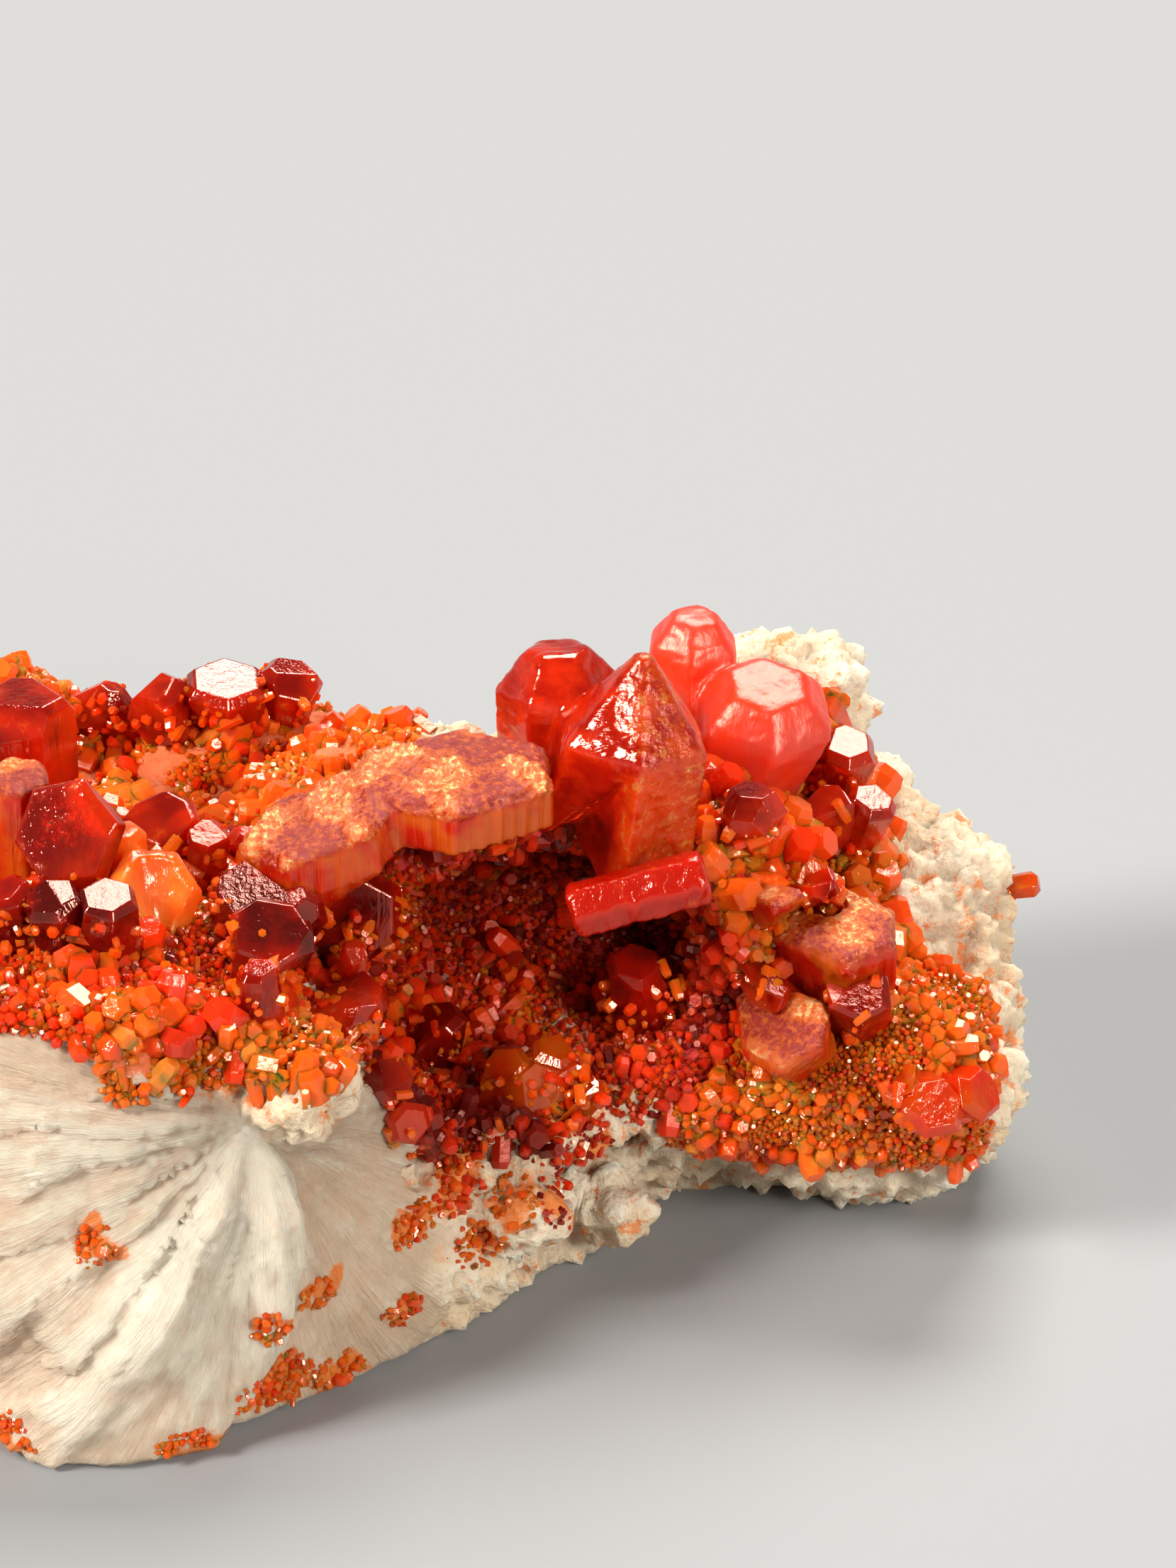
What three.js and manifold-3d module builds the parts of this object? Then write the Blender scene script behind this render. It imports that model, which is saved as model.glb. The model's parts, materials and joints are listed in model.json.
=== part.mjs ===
// Vanadinite on matrix: red hexagonal crystals and their crusts of small crystals, grown on and in
// an open hollow of a loose block of white bladed barite, which rests on its flat broken underside.
//
// Millimetres, +Z up. The block is laid out on a bench frame whose origin is on the bench under the
// summit crystal; -Y is the front, where the hollow opens. The exported group is then moved so that
// its origin is at the bottom centre of the whole specimen.

import * as THREE from "three";
import { mergeVertices } from "three/addons/utils/BufferGeometryUtils.js";
import Module from "manifold-3d";

const wasm = await Module();
wasm.setup();

// ---- driving dimensions --------------------------------------------------------------------------

const GAP = 0.3; // free space left between neighbouring pieces
const CRUST = 1.3; // depth of the crusts of small crystals over the barite
const ROUGHNESS = 0.45; // height of the broken relief of the barite
const AROUND = 40; // facets around the block
const BANDS = [1, 2, 2, 1, 1]; // rings from each outline of the block to the next
const FINE = 7; // lumps with a half size over this have more facets
const ROOT = 1.2; // how far a crystal reaches down into what it grew on

// Outlines of the block, counterclockwise from its front left, as x, y and z.
const SOLE = [
  [-29, -11.6, 0], [-23, -14.2, 0], [-17.8, -15.6, 0], [-12, -13, 0], [-6.5, -8.4, 0], [-1.5, -3, 0],
  [3.5, 3.6, 0], [8, 3.4, 0], [14.5, 4, 0], [15.5, 9, 0], [10, 15, 0], [0, 17, 0],
  [-12, 16.5, 0], [-24, 15.5, 0], [-33.5, 9, 0], [-34.5, -3.5, 0],
];
const WAIST = [
  [-30, -13, 9], [-23.5, -15.8, 8], [-17, -15.9, 7], [-11, -13, 6.5], [-6.5, -9.3, 4.8], [-1, -4, 3.6],
  [4.3, 0.8, 3.6], [9, -1, 3.2], [16.6, 1, 2.6], [16.4, 8.5, 6], [11.2, 15.8, 9], [0, 18, 9],
  [-12, 17.6, 9], [-25, 17, 10], [-36, 9.5, 9], [-36.5, -4, 8],
];
const BRIM = [
  [-28.5, -10.5, 16.8], [-23, -12.2, 17.2], [-17.5, -12.4, 16.8], [-12, -11.4, 15], [-8, -8.4, 11],
  [-2, -5.6, 8.2], [3.6, -3.6, 7.4], [9.5, -3, 6.6], [16.6, -0.4, 5.4], [16.7, 9, 11.4],
  [9.6, 15.2, 15.4], [0, 16.4, 14.8], [-12, 15.8, 14.2], [-24.5, 14.8, 14.8], [-34, 8.5, 15.8],
  [-34, -3.5, 16],
];
const SHOULDER = [
  [-24, -5, 17.2], [-20, -5.5, 17.6], [-16, -5.5, 17.2], [-12.5, -5.5, 16.4], [-10, -4.5, 14.6],
  [-5, 0, 13], [0, 2.4, 12.6], [7, 3, 12.4], [10.6, 4.5, 12], [10.8, 8.5, 14.2],
  [7.4, 12, 16.6], [0, 12.4, 15.6], [-10, 12.4, 14.6], [-20, 10.8, 15], [-27, 5, 16],
  [-27.5, -2, 16.8],
];
const SOLE_CENTRE = [-9, 2, 0];
const CROWN_CENTRE = [-8, 5, 15.4];

// Swellings that stand on the block: centre, half size, how square (2 is round) and relief seed.
const SWELLINGS = [
  { at: [-6.5, 4.4, 14.6], half: [8.4, 6, 4.8], square: 2.4, seed: 1 }, // seat of the slab
  { at: [3.6, 4.6, 13.6], half: [5.4, 5.8, 4.2], square: 2.4, seed: 2 }, // seat of the summit twin
  { at: [8.1, 14.2, 16.2], half: [3.1, 2.6, 4.1], square: 2.8, seed: 3 }, // knob, back right
  { at: [14.2, 9.4, 10.2], half: [3.4, 4.6, 3], square: 2.6, seed: 4 }, // right corner
  { at: [-26.2, 12, 16], half: [4.8, 3.4, 3.6], square: 2.4, seed: 5 }, // rim, back left
  { at: [-14.6, 12.2, 14.6], half: [4.8, 3.6, 3.2], square: 2.2, seed: 6 }, // rim, back middle
  { at: [-11.3, -10.9, 13.2], half: [2.3, 2.2, 2], square: 2.2, seed: 7 }, // lump at the fan's hub
  { at: [-3.6, -6, 5.6], half: [2.8, 1.9, 1.7], square: 2.4, seed: 8 }, // lower lip of the hollow
  { at: [0.9, -2.7, 2.8], half: [1.6, 1.5, 1.1], square: 2.6, seed: 9 }, // knob under the ledge
  { at: [11.2, 1, 7.2], half: [6, 4.4, 3.8], square: 2.6, seed: 10 }, // right apron
];
// Hollows sunk into it.
const HOLLOWS = [
  { at: [-2.2, -1.4, 12.9], half: [7.8, 8.8, 4.9], square: 2.6, seed: 21 }, // the main hollow
  { at: [0.4, -3.2, 5.4], half: [4.4, 4.4, 1.5], square: 2.3, seed: 22 }, // under the ledge
  { at: [-5.6, -8, 8], half: [2.4, 2.4, 1], square: 2.2, seed: 23 }, // small pocket to its left
];

// ---- solids --------------------------------------------------------------------------------------

// A closed geometry as a manifold-3d solid.
function solidOf(geometry) {
  const bare = geometry.clone();
  bare.deleteAttribute("normal");
  bare.deleteAttribute("uv");
  const merged = mergeVertices(bare, 1e-4);
  return new wasm.Manifold(
    new wasm.Mesh({
      numProp: 3,
      vertProperties: merged.attributes.position.array,
      triVerts: new Uint32Array(merged.index.array),
    }),
  );
}

// The largest body of a solid, without the crumbs that a cut leaves.
function largestBody(solid) {
  const bodies = solid.decompose();
  return bodies.reduce((best, body) => (body.volume() > best.volume() ? body : best));
}

function meshOf(solid, name, material) {
  const cut = largestBody(solid).getMesh();
  const geometry = new THREE.BufferGeometry();
  geometry.setAttribute("position", new THREE.BufferAttribute(cut.vertProperties, cut.numProp));
  geometry.setIndex(new THREE.BufferAttribute(cut.triVerts, 1));
  geometry.computeVertexNormals();
  const mesh = new THREE.Mesh(geometry, material);
  mesh.name = name;
  return mesh;
}

const unite = (solids) => solids.reduce((whole, solid) => whole.add(solid));
const carve = (solid, cutters) => cutters.reduce((left, cutter) => left.subtract(cutter), solid);

// Uneven relief between -1 and 1 that is smooth over a few millimetres.
function relief(p, seed) {
  const coarse = Math.sin(0.55 * p.x + seed) * Math.sin(0.5 * p.y - 2 * seed) * Math.cos(0.6 * p.z);
  const fine = Math.sin(1.7 * p.x + 1.1 * p.z + 3 * seed) * Math.cos(1.5 * p.y - 0.8 * p.z + seed);
  return 0.5 * coarse + 0.5 * fine;
}

// Moves every vertex of a closed geometry out along its normal by a distance that may vary.
function swell(geometry, distance) {
  const bare = geometry.clone();
  bare.deleteAttribute("normal");
  bare.deleteAttribute("uv");
  const skin = mergeVertices(bare, 1e-4);
  skin.computeVertexNormals();
  const { position, normal } = skin.attributes;
  const p = new THREE.Vector3();
  const n = new THREE.Vector3();
  for (let i = 0; i < position.count; i++) {
    p.fromBufferAttribute(position, i);
    n.fromBufferAttribute(normal, i);
    const out = distance(p);
    p.addScaledVector(n, out);
    position.setXYZ(i, p.x, p.y, p.z);
  }
  return skin;
}

// ---- barite block --------------------------------------------------------------------------------

// The block's main body: a skin through the outlines, from the centre of the sole up to the crown.
function blockBody(grow) {
  const curve = (outline) =>
    new THREE.CatmullRomCurve3(outline.map((p) => new THREE.Vector3(...p)), true, "centripetal");
  const point = (place) => ({ getPoint: () => new THREE.Vector3(...place) });
  const levels = [point(SOLE_CENTRE), ...[SOLE, WAIST, BRIM, SHOULDER].map(curve), point(CROWN_CENTRE)];
  const heights = BANDS.flatMap((steps, level) =>
    Array.from({ length: steps }, (_, k) => [level, (k + 1) / steps]),
  );
  const blank = new THREE.LatheGeometry(
    [[0, 0], ...heights].map((_, ring) => new THREE.Vector2(1, ring)),
    AROUND,
  );
  const { position } = blank.attributes;
  for (let i = 0; i < position.count; i++) {
    const [level, share] = [[0, 0], ...heights][i % (heights.length + 1)];
    const turn = (Math.floor(i / (heights.length + 1)) % AROUND) / AROUND;
    const p = levels[level].getPoint(turn).lerp(levels[level + 1].getPoint(turn), share);
    position.setXYZ(i, p.x, p.y, p.z);
  }
  return swell(blank, (p) => grow + (p.z > 0.01 ? ROUGHNESS * relief(p, 0) : 0));
}

// A rounded lump of rock, as a swelling or as the shape of a hollow.
function lump({ at, half, square, seed }, grow) {
  const ball = new THREE.IcosahedronGeometry(1, Math.max(...half) > FINE ? 2 : 1);
  const { position } = ball.attributes;
  const d = new THREE.Vector3();
  for (let i = 0; i < position.count; i++) {
    d.fromBufferAttribute(position, i);
    const sum = ["x", "y", "z"].reduce((s, axis, k) => s + Math.abs(d[axis] / half[k]) ** square, 0);
    d.multiplyScalar(sum ** (-1 / square)).add(new THREE.Vector3(...at));
    position.setXYZ(i, d.x, d.y, d.z);
  }
  return swell(ball, (p) => grow + ROUGHNESS * relief(p, seed));
}

// The whole block, its surface moved out by grow.
function bariteBlock(grow) {
  const swellings = SWELLINGS.map((spec) => solidOf(lump(spec, grow)));
  const hollows = HOLLOWS.map((spec) => solidOf(lump(spec, -grow)));
  return carve(unite([solidOf(blockBody(grow)), ...swellings]), hollows);
}

// ---- crystals ------------------------------------------------------------------------------------

// One hexagonal crystal. It stands at a point and runs along its axis; radius is to a prism edge,
// tall is the height over that point, cap the height of the bevelled end, flat the share of the
// radius that its end face keeps, taper the share of the radius it has lost at its root, and squeeze
// flattens the hexagon. With grow it is the plain prism, that much larger all round, that its
// neighbours keep out of.
function crystal(spec, grow = 0) {
  const { at, axis, radius, tall } = spec;
  const { cap = 0.25 * radius, flat = 0.75, taper = 0, squeeze = 1, spin = 0, root = ROOT } = spec;
  const side = grow / Math.cos(Math.PI / 6);
  const shoulder = grow > 0 ? [] : [[radius, tall - cap]];
  const profile = [
    [0, -root - grow],
    [radius * (1 - taper) + side, -root - grow],
    ...shoulder,
    [grow > 0 ? radius + side : radius * flat, tall + grow],
    [0, tall + grow],
  ];
  const shape = new THREE.LatheGeometry(profile.map(([r, h]) => new THREE.Vector2(r, h)), 6);
  const along = new THREE.Vector3(...axis).normalize();
  const turn = new THREE.Quaternion().setFromUnitVectors(new THREE.Vector3(0, 1, 0), along);
  shape.rotateY(THREE.MathUtils.degToRad(spin));
  shape.scale(1, 1, squeeze);
  shape.applyQuaternion(turn);
  shape.translate(...at);
  return solidOf(shape);
}

// Each entry is one piece: a crystal, or several that grew through each other.
const CRYSTALS = {
  summit_twin: [
    { at: [1, 0.6, 17], axis: [0.12, 0.02, 1], radius: 3.1, tall: 8.9, cap: 3.4, flat: 0.1, taper: 0.1, spin: 12 },
    { at: [-0.9, 3.6, 17], axis: [-0.06, 0.1, 1], radius: 2.5, tall: 7.5, cap: 1.5, flat: 0.5, spin: 30 },
  ],
  etched_slab: [
    { at: [-5.3, -1.1, 20], axis: [-0.05, -0.04, 1], radius: 4.3, tall: 1.9, cap: 0.5, flat: 0.88, squeeze: 0.78, spin: 0, root: 0 },
    { at: [-10, -2.7, 18.9], axis: [-0.34, -0.04, 1], radius: 3.5, tall: 1.9, cap: 0.5, flat: 0.85, squeeze: 0.85, spin: 20, root: 0 },
  ],
  red_block: [
    { at: [-12.6, -4.8, 16.4], axis: [-0.1, -0.4, 1], radius: 2.7, tall: 2.8, cap: 0.6, spin: 10 },
  ],
  roof_block: [
    { at: [-9.3, -2.6, 16.6], axis: [0.2, -0.9, 0.25], radius: 1.9, tall: 1.6, cap: 0.4, spin: 15, root: 3 },
  ],
  back_dome: [
    { at: [4, 10.4, 18], axis: [0.05, -0.05, 1], radius: 1.95, tall: 5.2, cap: 1.3, flat: 0.5, spin: 0, root: 2 },
    { at: [6.8, 8.6, 17.5], axis: [0.12, -0.3, 1], radius: 3, tall: 4, cap: 1.3, flat: 0.55, spin: 14, root: 2 },
  ],
  barrel: [
    { at: [6.3, 1.4, 16.4], axis: [0.04, 0.02, 1], radius: 1.35, tall: 3.2, cap: 0.8, flat: 0.6, taper: 0.2, spin: 25 },
  ],
  lying_prism: [
    { at: [-0.7, -3.5, 16.9], axis: [1, 0.08, 0.26], radius: 1.05, tall: 5.3, cap: 0.15, flat: 0.85, spin: 8, root: 0 },
  ],
  squat_table: [
    { at: [6.7, -0.4, 14.8], axis: [0.06, -0.12, 1], radius: 1.75, tall: 1.8, cap: 0.3, flat: 0.85, spin: 18 },
  ],
  bright_facet: [
    { at: [9.3, 0.9, 14.7], axis: [-0.2, -0.45, 1], radius: 0.75, tall: 1.8, cap: 0.15, flat: 0.85, spin: 0 },
  ],
  honeycomb_table: [
    { at: [10, 0.2, 12.6], axis: [0.08, -0.3, 1], radius: 2.25, tall: 2.2, cap: 0.4, flat: 0.84, spin: 5 },
  ],
  mirror_plate: [
    { at: [10.5, -2.1, 12], axis: [0.1, -0.5, 1], radius: 1.35, tall: 0.9, cap: 0.15, flat: 0.9, spin: 12 },
  ],
  tilted_plate: [
    { at: [8.2, -2.8, 10.4], axis: [-0.42, -0.35, 0.8], radius: 1.95, tall: 1.3, cap: 0.25, flat: 0.88, spin: 10 },
  ],
  rosette: [
    { at: [13.2, -3.9, 8], axis: [0.2, -0.8, 0.7], radius: 1.3, tall: 2, spin: 10 },
    { at: [14.2, -3.5, 8.3], axis: [0.7, -0.6, 0.6], radius: 1.1, tall: 2, spin: 30 },
    { at: [12.5, -3.6, 8.8], axis: [-0.4, -0.6, 0.9], radius: 1.05, tall: 1.9, spin: 0 },
  ],
  right_splinter: [
    { at: [5.9, -1.6, 12.6], axis: [1, -0.3, -0.35], radius: 0.65, tall: 2, spin: 10, root: 0 },
  ],
  left_mirror: [
    { at: [-22.1, 2.2, 18], axis: [-0.03, 0.02, 1], radius: 1.9, tall: 5.4, cap: 0.25, flat: 0.88, spin: 22 },
  ],
  left_etched: [
    { at: [-21.9, -2.4, 18], axis: [-0.05, -0.1, 1], radius: 1.35, tall: 4.6, cap: 0.3, spin: 8 },
  ],
  left_plate: [
    { at: [-19.8, -5.4, 21.3], axis: [-0.42, -0.8, 0.5], radius: 2.1, tall: 0.7, cap: 0.2, flat: 0.9, spin: 25, root: 0.5 },
    { at: [-19.3, -4.6, 18], axis: [-0.1, -0.1, 1], radius: 1.2, tall: 2.6, spin: 0 },
  ],
  left_stalk: [
    { at: [-19.5, -0.6, 17.4], axis: [-0.12, -0.4, 1], radius: 0.95, tall: 3.2, cap: 0.12, flat: 0.88, spin: 14 },
  ],
  left_pentagon: [
    { at: [-16.3, 0.6, 16.8], axis: [-0.22, -0.5, 1], radius: 1.6, tall: 3.1, cap: 0.25, flat: 0.86, spin: 4 },
  ],
  left_shard: [
    { at: [-15.1, -1, 17.4], axis: [0.1, -0.4, 1], radius: 0.85, tall: 2.2, cap: 0.12, flat: 0.88, spin: 18 },
  ],
  broken_plates: [
    { at: [-17, -5.8, 18.4], axis: [0.3, -0.5, 0.8], radius: 1.8, tall: 1.7, cap: 0.3, spin: 6 },
    { at: [-17.8, -4.6, 18.4], axis: [-0.1, 0, 1], radius: 1, tall: 2.6, cap: 0.3, spin: 26 },
  ],
  dark_group: [
    { at: [-19.9, -7.8, 18.2], axis: [-0.2, -0.4, 1], radius: 1.1, tall: 2.3, spin: 5 },
    { at: [-18.3, -8, 18.2], axis: [0.1, -0.3, 1], radius: 1.1, tall: 2.3, spin: 20 },
    { at: [-21.5, -7.6, 18.2], axis: [-0.3, -0.2, 1], radius: 1, tall: 2.2, spin: 12 },
  ],
  rimmed_hexagon: [
    { at: [-12.2, -6.9, 16.4], axis: [0.08, -0.55, 1], radius: 1.65, tall: 2.6, cap: 0.15, flat: 0.92, spin: 16 },
  ],
  back_rim_block: [
    { at: [-15.2, 11.4, 17], axis: [0.04, -0.18, 1], radius: 1.75, tall: 3, cap: 0.35, flat: 0.82, spin: 9 },
    { at: [-17.4, 10.9, 17.4], axis: [-0.35, -0.2, 1], radius: 1.4, tall: 2.5, spin: 20 },
    { at: [-13.1, 11.8, 17.4], axis: [0.3, -0.1, 1], radius: 1.3, tall: 2.7, spin: 0 },
  ],
  back_rim_bead: [
    { at: [-20.4, 12.6, 17.4], axis: [0.3, 0, 1], radius: 0.95, tall: 1.4, cap: 0.5, flat: 0.5, spin: 0 },
  ],
  front_prism: [
    { at: [-12.1, -10.4, 15.2], axis: [-0.1, -0.1, 1], radius: 0.75, tall: 3.2, cap: 0.2, spin: 14 },
  ],
  front_jewel: [
    { at: [-9.3, -7.4, 13.9], axis: [0.2, -0.35, 1], radius: 1.4, tall: 2.4, cap: 0.7, flat: 0.6, spin: 4 },
  ],
  front_finger: [
    { at: [-9.2, -5.8, 15.1], axis: [0.1, -0.2, 1], radius: 0.5, tall: 1.7, cap: 0.2, spin: 0 },
  ],
  pillar_beads: [
    { at: [-8, -8, 11.8], axis: [0.5, -0.7, 0.5], radius: 0.95, tall: 1, spin: 0 },
    { at: [-7.3, -8.5, 10.6], axis: [0.4, -0.9, 0.2], radius: 0.85, tall: 1, spin: 20 },
  ],
  ledge_group: [
    { at: [-3, -3.9, 9.1], axis: [-0.3, -0.4, 1], radius: 1.05, tall: 1.6, spin: 0 },
    { at: [-2, -4.7, 8.9], axis: [0, -0.6, 1], radius: 1.15, tall: 1.6, spin: 12 },
    { at: [-0.7, -4.5, 8.8], axis: [0.2, -0.6, 1], radius: 1.1, tall: 1.6, spin: 24 },
    { at: [-1.4, -3.4, 9], axis: [0.1, -0.1, 1], radius: 1.1, tall: 1.8, spin: 8 },
  ],
  hollow_left: [
    { at: [-5.8, -0.8, 8.9], axis: [-0.2, -0.2, 1], radius: 1.15, tall: 2, spin: 8 },
  ],
  hollow_back: [
    { at: [1.6, 1.8, 9.9], axis: [0.1, -0.4, 1], radius: 1.2, tall: 2.4, spin: 20 },
  ],
  right_bank_low: [
    { at: [9.6, 6, 15.4], axis: [-0.1, -0.4, 1], radius: 1.2, tall: 1.9, spin: 20 },
    { at: [11.2, 6.6, 15.2], axis: [0.2, -0.3, 1], radius: 1.05, tall: 1.8, spin: 4 },
  ],
  right_bank_high: [
    { at: [10.4, 9.4, 16.4], axis: [0.1, -0.3, 1], radius: 1.3, tall: 1.7, spin: 10 },
  ],
  corner_bead: [
    { at: [17.2, 8.9, 11.2], axis: [1, -0.1, 0.25], radius: 0.5, tall: 1.5, cap: 0.2, spin: 0, root: 0.8 },
  ],
  far_left_prism: [
    { at: [-27, -0.6, 17], axis: [-0.1, -0.1, 1], radius: 1.9, tall: 4.6, cap: 0.5, spin: 0 },
  ],
  far_left_plate: [
    { at: [-30.6, -2.4, 16.4], axis: [-0.45, -0.25, 1], radius: 1.7, tall: 2, cap: 0.3, spin: 20 },
  ],
  far_left_back: [
    { at: [-29, 4.6, 16.6], axis: [-0.25, 0.2, 1], radius: 1.4, tall: 2.8, cap: 0.4, spin: 10 },
  ],
  back_face_left: [
    { at: [-20, 17, 8.6], axis: [-0.1, 1, 0.3], radius: 1.3, tall: 1.6, spin: 0 },
    { at: [-18.2, 17, 7.6], axis: [0.3, 1, 0.1], radius: 1, tall: 1.4, spin: 15 },
  ],
  back_face_right: [
    { at: [3.4, 17.2, 9.4], axis: [0.1, 1, 0.2], radius: 1.2, tall: 1.7, spin: 10 },
  ],
};

// ---- crusts --------------------------------------------------------------------------------------

// Where the barite is covered in small crystals. Each zone is a lump; its crust follows the barite.
const ZONES = {
  crust_left_bank: { at: [-19.5, -5.2, 19.3], half: [11.5, 7.2, 3.6], square: 4, seed: 31 },
  crust_back_rim: { at: [-18.5, 9, 19], half: [11, 7.2, 6], square: 3, seed: 32 },
  crust_front_brim: { at: [-12, -11, 15.5], half: [7, 3.6, 3.2], square: 3, seed: 33 },
  crust_hollow: { at: [-2, 0.4, 12.2], half: [8.8, 8.6, 6], square: 3, seed: 34 },
  crust_right_bank: { at: [8.2, 5.6, 15.6], half: [5, 6, 5.4], square: 3, seed: 35 },
  crust_right_apron: { at: [10, -1.6, 9.4], half: [7, 4.8, 5.6], square: 3, seed: 36 },
};

// ---- assembly ------------------------------------------------------------------------------------

const barite = new THREE.MeshStandardMaterial({ color: 0xe9e2d2, roughness: 0.75, metalness: 0 });
const crystals = (color) => new THREE.MeshStandardMaterial({ color, roughness: 0.15, metalness: 0 });
const redVanadinite = crystals(0xb3160c);
const orangeVanadinite = crystals(0xcf5210);
const darkVanadinite = crystals(0x7a0d08);
const smallCrystals = new THREE.MeshStandardMaterial({ color: 0xd5430c, roughness: 0.25, metalness: 0 });

// The crystals that are not plain red.
const TINTS = {
  etched_slab: orangeVanadinite,
  lying_prism: orangeVanadinite,
  squat_table: orangeVanadinite,
  tilted_plate: orangeVanadinite,
  rosette: orangeVanadinite,
  broken_plates: orangeVanadinite,
  ledge_group: orangeVanadinite,
  corner_bead: orangeVanadinite,
  far_left_plate: orangeVanadinite,
  front_finger: orangeVanadinite,
  red_block: darkVanadinite,
  roof_block: darkVanadinite,
  rimmed_hexagon: darkVanadinite,
  dark_group: darkVanadinite,
  hollow_left: darkVanadinite,
  hollow_back: darkVanadinite,
  left_stalk: darkVanadinite,
};

const specimen = new THREE.Group();

specimen.add(meshOf(bariteBlock(0), "barite_matrix", barite));

// Each crust is the layer over the barite inside its zone, clear of the zones before it.
const rockAndGap = bariteBlock(GAP);
const crustTop = bariteBlock(GAP + CRUST);
const crustTopAndGap = bariteBlock(GAP + CRUST + GAP);
const taken = [];
const ground = [rockAndGap];
for (const [name, zone] of Object.entries(ZONES)) {
  const layer = solidOf(lump(zone, 0)).intersect(crustTop).subtract(rockAndGap);
  specimen.add(meshOf(carve(layer, taken), name, smallCrystals));
  taken.push(solidOf(lump(zone, GAP)));
  ground.push(solidOf(lump(zone, GAP)).intersect(crustTopAndGap));
}

// Each crystal stands on the barite or the crust, and keeps out of the crystals before it.
const standing = [];
for (const [name, specs] of Object.entries(CRYSTALS)) {
  const grown = unite(specs.map((spec) => crystal(spec)));
  specimen.add(meshOf(carve(grown, [...ground, ...standing]), `crystal_${name}`, TINTS[name] ?? redVanadinite));
  standing.push(unite(specs.map((spec) => crystal(spec, GAP))));
}

const box = new THREE.Box3().setFromObject(specimen);
const middle = box.getCenter(new THREE.Vector3());
specimen.position.set(-middle.x, -middle.y, -box.min.z);

export default specimen;
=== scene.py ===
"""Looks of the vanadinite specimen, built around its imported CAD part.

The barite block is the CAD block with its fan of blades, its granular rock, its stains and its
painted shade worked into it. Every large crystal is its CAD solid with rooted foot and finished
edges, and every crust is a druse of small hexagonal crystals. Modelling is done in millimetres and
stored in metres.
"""

import json
import math
import random

import bmesh
import bpy
from mathutils import Euler, Matrix, Vector, noise
from mathutils.bvhtree import BVHTree


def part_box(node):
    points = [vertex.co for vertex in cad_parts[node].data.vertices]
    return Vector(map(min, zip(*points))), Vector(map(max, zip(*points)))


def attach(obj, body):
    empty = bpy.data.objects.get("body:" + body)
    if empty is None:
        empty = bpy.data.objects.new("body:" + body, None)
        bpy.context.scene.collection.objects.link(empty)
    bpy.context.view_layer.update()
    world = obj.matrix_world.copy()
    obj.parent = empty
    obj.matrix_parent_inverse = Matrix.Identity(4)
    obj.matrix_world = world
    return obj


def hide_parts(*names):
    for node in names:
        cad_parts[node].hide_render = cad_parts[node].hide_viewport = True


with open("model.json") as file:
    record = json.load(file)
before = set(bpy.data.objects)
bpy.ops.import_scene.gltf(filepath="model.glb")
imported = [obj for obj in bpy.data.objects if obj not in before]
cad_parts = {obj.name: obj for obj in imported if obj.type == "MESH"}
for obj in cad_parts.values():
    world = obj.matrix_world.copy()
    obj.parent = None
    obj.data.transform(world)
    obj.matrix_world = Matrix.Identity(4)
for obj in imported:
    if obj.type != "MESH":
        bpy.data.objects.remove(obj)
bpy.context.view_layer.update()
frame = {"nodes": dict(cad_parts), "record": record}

MM = 0.001
SEED = 4
UP = Vector((0, 0, 1))

BLOCK = "barite_matrix"
CRUSTS = sorted(name for name in frame["nodes"] if name.startswith("crust_"))
CRYSTALS = sorted(name for name in frame["nodes"] if name.startswith("crystal_"))
SLOT_OF = {entry["node"]: entry["material_slot"] for entry in frame["record"]["subparts"]}


# ---- small helpers -------------------------------------------------------------------------------


def smooth_step(low, high, value):
    """0 below low, 1 above high and an even slope between them; low may be over high."""
    share = min(max((value - low) / (high - low), 0.0), 1.0)
    return share * share * (3 - 2 * share)


def place_in(node, shares):
    """The point at these shares of a CAD node's box, in millimetres."""
    low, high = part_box(node)
    return Vector([a + share * (b - a) for a, b, share in zip(low, high, shares)]) / MM


def solid_of(node):
    """A CAD node's solid as a bmesh in millimetres, its loose triangles joined."""
    bm = bmesh.new()
    bm.from_mesh(frame["nodes"][node].data)
    bm.transform(Matrix.Scale(1 / MM, 4))
    bmesh.ops.remove_doubles(bm, verts=bm.verts, dist=0.002)
    return bm


def surface_of(nodes):
    """The surfaces of several CAD nodes as one tree to measure distances from."""
    joined = bmesh.new()
    for node in nodes:
        joined.from_mesh(frame["nodes"][node].data)
    joined.transform(Matrix.Scale(1 / MM, 4))
    tree = BVHTree.FromBMesh(joined)
    joined.free()
    return tree


def with_voxels(bm, size):
    """The bmesh remade of even voxel faces."""
    mesh = bpy.data.meshes.new("blank")
    bm.to_mesh(mesh)
    bm.free()
    blank = bpy.data.objects.new("blank", mesh)
    bpy.context.scene.collection.objects.link(blank)
    voxels = blank.modifiers.new("voxels", "REMESH")
    voxels.mode = "VOXEL"
    voxels.voxel_size = size
    remade = bmesh.new()
    depsgraph = bpy.context.evaluated_depsgraph_get()
    remade.from_mesh(blank.evaluated_get(depsgraph).to_mesh())
    bpy.data.objects.remove(blank)
    bpy.data.meshes.remove(mesh)
    return remade


def soften(bm, rounds, factor=0.5, verts=None):
    """Smooths all the verts, or only those given, a number of times."""
    axes = {"use_axis_x": True, "use_axis_y": True, "use_axis_z": True}
    for _ in range(rounds):
        bmesh.ops.smooth_vert(bm, verts=verts or bm.verts, factor=factor, **axes)


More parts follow.
